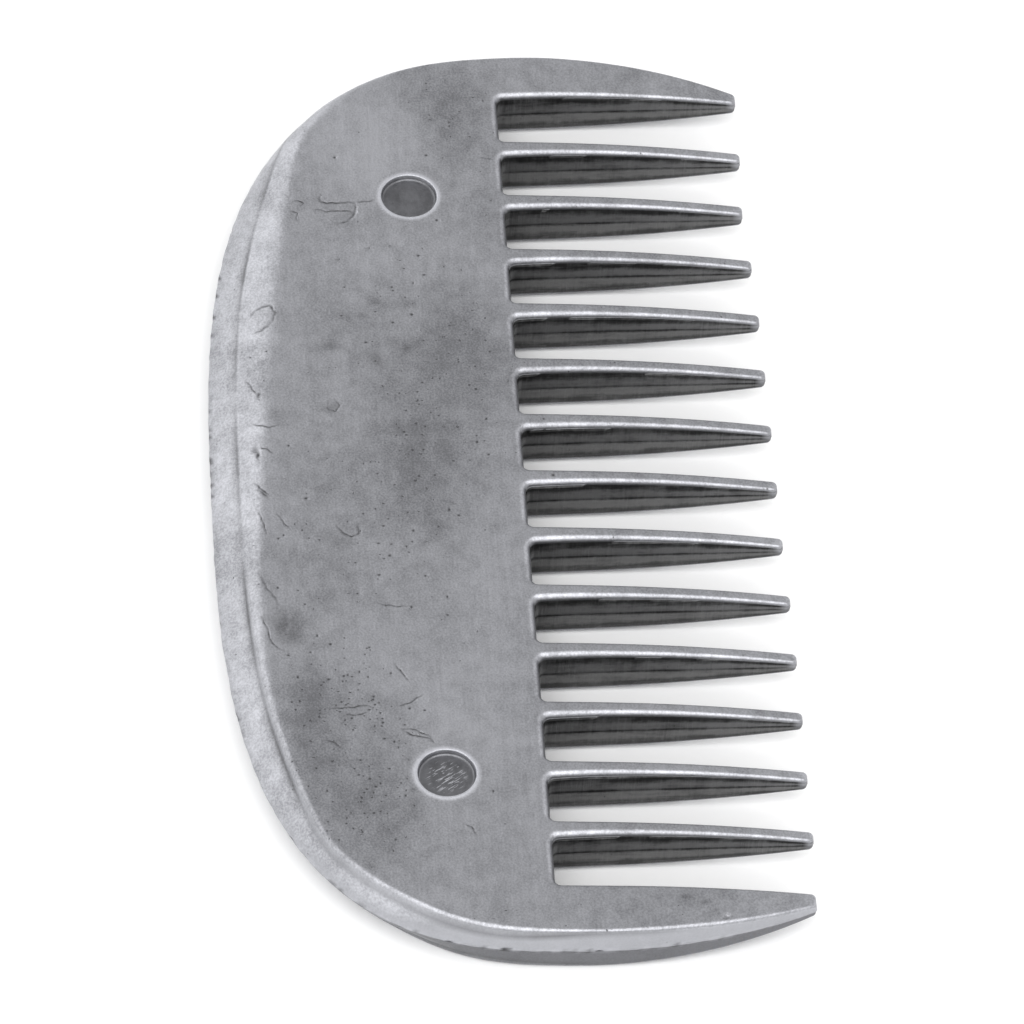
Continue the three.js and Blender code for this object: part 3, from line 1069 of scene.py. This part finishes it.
def greys(tones, blue=0.0):
    return [grey(tone, blue) for tone in tones]


def slot_skin_and_shade(n, where, up, lower, mottle, striae):
    """The as-cast skin of the walls inside the slots, darkened as painted shade of the slots, most
    of all high on the wall.
    """
    streaks = n.noise(n.stretched(where, STREAK_LENGTHS), 1, detail=4, roughness=0.6)
    darkness = n.total(
        n.ramp(mottle, *MOTTLE_SKIN),
        n.ramp(streaks, *STREAK_SKIN),
        # painted shade: darker towards the top of the wall, below the rounded edge
        n.ramp(up, *HIGH_WALL_SHADE),
        n.ramp(up, *PARTING_SKIN),
        n.ramp(striae, *STRIAE_SKIN),
    )
    dark = n.ramp(darkness, *ALL_SKIN)
    # the upper skin is dark partly as painted shade of the slot
    upper_skin_and_shade = n.mix_colour(dark, *greys(UPPER_SKIN_AND_SHADE_TONES, SKIN_BLUE))
    return n.mix_colour(lower, upper_skin_and_shade, n.mix_colour(dark, *greys(LOWER_SKIN_TONES)))


def outer_wall(n, face, wall, lower):
    """The outside wall: a little duller than the face, and a duller, darker grey under the parting
    line, partly its skin and partly painted shade near the floor.
    """
    # Under the parting line the wall is darker: partly its skin, partly painted shade near the
    # floor
    dull_and_shaded = n.mix_colour(lower, *greys(DULL_AND_SHADED_WALL_TONES, BLUE))
    normal = n.add("ShaderNodeNewGeometry").outputs["Normal"]
    upright = n.add("ShaderNodeSeparateXYZ", {0: normal})
    steep = n.ramp(n.math("ABSOLUTE", upright.outputs["Z"]), *STEEP)
    outside = n.times(n.times(wall, steep), WALL_SHARE)
    return n.mix_colour(outside, face, dull_and_shaded)


def pin_floor_tone(n, where, mottle, scratched):
    """The recesses' as-cast floor, and the bright diagonal rubs on one of them."""
    floor = n.mix_colour(n.ramp(mottle, *MOTTLE_PIN), *greys(PIN_TONES, BLUE))
    rubs = n.noise(n.stretched(where, RUB_LENGTHS, RUB_ANGLE), 1, detail=2)
    rubs = n.times(n.ramp(rubs, *RUBBED_PIN), scratched)
    return n.mix_colour(rubs, floor, grey(RUBBED_TONE, BLUE))


def small_pits(n, where, stain):
    """Pits: small, irregular, and thickest where the metal is stained. Their darkness is painted
    shade.
    """
    place = n.pushed(where, PIT_EDGES, PIT_EDGE_PUSH)
    cells = n.add("ShaderNodeTexVoronoi", {"Vector": place, "Scale": PITS_PER_METRE})
    chance = n.add("ShaderNodeSeparateColor", {0: cells.outputs["Color"]}).outputs[0]
    likely = n.total(chance, n.ramp(stain, *PIT_STAIN))
    depth = n.math("SUBTRACT", n.ramp(likely, *PIT_CELL_SIZE), cells.outputs["Distance"])
    return n.ramp(depth, *PIT_EDGE)


def cast_aluminium():
    n = Nodes("cast_aluminium")
    where = n.add("ShaderNodeTexCoord").outputs["Object"]
    values = map(n.attribute, Surface.VALUES)
    wall, slot, up, lower, worn, grime, tarnish, pin_floor, scratched = values
    clouds = n.noise(where, CLOUDS_PER_METRE, detail=4, roughness=0.55, distortion=0.6)
    mottle = n.noise(where, MOTTLE_PER_METRE, detail=5, roughness=0.65)
    grain = n.noise(where, GRAIN_PER_METRE, detail=3, roughness=0.6)
    brushed = n.noise(n.stretched(where, BRUSHED_LENGTHS), 1, detail=3, roughness=0.6)
    striae = n.noise(n.stretched(where, STRIAE_LENGTHS), 1, detail=2, roughness=0.6)

    # the tumbled face: clouds of tarnish over bright metal
    stain = n.total(
        n.ramp(clouds, *CLOUD_STAIN),
        tarnish,
        n.ramp(mottle, *MOTTLE_STAIN),
        n.ramp(grain, *GRAIN_STAIN),
    )
    face = n.mix_colour(n.ramp(stain, *ALL_STAIN), *greys(FACE_TONES, BLUE))
    in_slot = n.times(wall, slot, clamp=True)
    colour = outer_wall(n, face, wall, lower)
    colour = n.mix_colour(in_slot, colour, slot_skin_and_shade(n, where, up, lower, mottle, striae))
    colour = n.mix_colour(pin_floor, colour, pin_floor_tone(n, where, mottle, scratched))
    colour = n.mix_colour(n.times(worn, WORN_SHARE), colour, grey(WORN_TONE, BLUE))
    pit = small_pits(n, where, stain)
    # Darkens the parting line's nicks, and paints shade into pits, the crease, wrinkles and dents
    dirt_and_shade = n.math("MAXIMUM", n.times(pit, PIT_SHADE), grime)
    colour = n.mix_colour(dirt_and_shade, colour, grey(DIRT_AND_SHADE_TONE))

    roughness = n.total(
        n.ramp(stain, *ALL_STAIN, CLEAN_ROUGHNESS, STAINED_ROUGHNESS),
        n.times(in_slot, SLOT_ROUGHNESS),
        n.ramp(brushed, *BRUSHED_ROUGHNESS),
        n.times(worn, WORN_ROUGHNESS),
    )
    height = n.total(
        n.times(grain, GRAIN_RELIEF),
        n.times(mottle, MOTTLE_RELIEF),
        n.times(brushed, BRUSHED_RELIEF),
        n.times(n.times(n.math("SUBTRACT", striae, 0.5), in_slot), STRIAE_RELIEF),
    )
    height = n.math("SUBTRACT", height, n.times(pit, PIT_RELIEF))
    bump = n.add("ShaderNodeBump", {"Strength": 1.0, "Distance": MM, "Height": height})
    inputs = {"Metallic": 1.0, "Base Color": colour, "Roughness": roughness}
    inputs["Normal"] = bump.outputs[0]
    return n.finish(n.add("ShaderNodeBsdfPrincipled", inputs))


# -------- studio
FLOOR_REACH = 3.0
FLOOR_GAP = 0.1  # in millimetres, keeps the floor and the underside from lying in one plane
FLOOR_TONES = (0.95, 0.94)
FLOOR_PER_METRE = 30
FLOOR_CLOUDS = (0.3, 0.7)
SURROUND = 0.52
# Soft boxes: name, azimuth, elevation, distance, width, height, radiance
SOFT_BOXES = [
    ("near_soft_box", 270, 60, 1.5, 2.3, 1.6, 2.1),
    ("back_soft_box", 149, 33, 1.2, 2.2, 1.0, 1.05),
    ("side_soft_box", 214, 18, 1.2, 0.9, 0.5, 1.1),
    ("teeth_soft_box", 30, 30, 1.2, 1.2, 0.7, 0.6),
]
# The camera stands off the comb's -X end, turned a little to the back, with a slight roll
CAMERA_AZIMUTH = 263.3
CAMERA_ELEVATION = 50.2
CAMERA_ROLL = 4.46
CAMERA_DISTANCE = 0.728
CAMERA_TARGET = (-2.09, -1.41, MID_Z)
CAMERA_LENS, CAMERA_SENSOR = 292.8, 36.0
CAMERA_CLIP = (0.01, 20)


def direction(azimuth, elevation):
    """From the comb outwards. Azimuth 0 is the -Y side and 90 the +X side, in degrees."""
    a, e = math.radians(azimuth), math.radians(elevation)
    return Vector((math.sin(a) * math.cos(e), -math.cos(a) * math.cos(e), math.sin(e)))


def pale_floor():
    n = Nodes("pale_floor")
    where = n.add("ShaderNodeTexCoord").outputs["Object"]
    clouds = n.ramp(n.noise(where, FLOOR_PER_METRE), *FLOOR_CLOUDS)
    tone = n.mix_colour(clouds, *greys(FLOOR_TONES))
    inputs = {"Roughness": 0.9, "Specular IOR Level": 0.2, "Base Color": tone}
    return n.finish(n.add("ShaderNodeBsdfPrincipled", inputs))


def make_floor():
    mesh = bpy.data.meshes.new("studio_floor")
    side, z = FLOOR_REACH, -FLOOR_GAP * MM
    corners = [(-side, -side, z), (side, -side, z), (side, side, z), (-side, side, z)]
    mesh.from_pydata(corners, [], [(0, 1, 2, 3)])
    mesh.materials.append(pale_floor())
    floor = new_object("studio_floor", mesh)


def soft_box(name, azimuth, elevation, distance, width, height, radiance):
    """A rectangular area light aimed at the comb."""
    light = bpy.data.lights.new(name, "AREA")
    light.shape = "RECTANGLE"
    light.size, light.size_y = width, height
    light.energy = radiance * math.pi * width * height
    lamp = new_object(name, light)
    back = direction(azimuth, elevation)
    lamp.location = back * distance
    lamp.rotation_mode = "QUATERNION"
    lamp.rotation_quaternion = back.to_track_quat("Z", "Y")


def make_lights():
    world = bpy.data.worlds.new("studio")
    bpy.context.scene.world = world
    world.use_nodes = True
    background = world.node_tree.nodes["Background"]
    background.inputs["Color"].default_value = (1, 1, 1, 1)
    background.inputs["Strength"].default_value = SURROUND
    for row in SOFT_BOXES:
        soft_box(*row)


def make_camera():
    target = Vector(CAMERA_TARGET) * MM
    roll = math.radians(CAMERA_ROLL)
    back = direction(CAMERA_AZIMUTH, CAMERA_ELEVATION)
    level_right = Vector((0, 0, 1)).cross(back).normalized()
    level_up = back.cross(level_right)
    right = math.cos(roll) * level_right + math.sin(roll) * level_up
    up = back.cross(right)
    camera = bpy.data.cameras.new("camera")
    camera.lens = CAMERA_LENS
    camera.sensor_width = CAMERA_SENSOR
    camera.clip_start, camera.clip_end = CAMERA_CLIP
    holder = new_object("camera", camera)
    rotation = Matrix((right, up, back)).transposed().to_4x4()
    holder.matrix_world = Matrix.Translation(target + back * CAMERA_DISTANCE) @ rotation
    bpy.context.scene.camera = holder


comb = build_casting()
comb.data.materials.append(cast_aluminium())
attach(comb, "root")
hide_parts(NODE)

make_floor()
make_lights()
make_camera()
bpy.context.scene.view_settings.view_transform = "Standard"
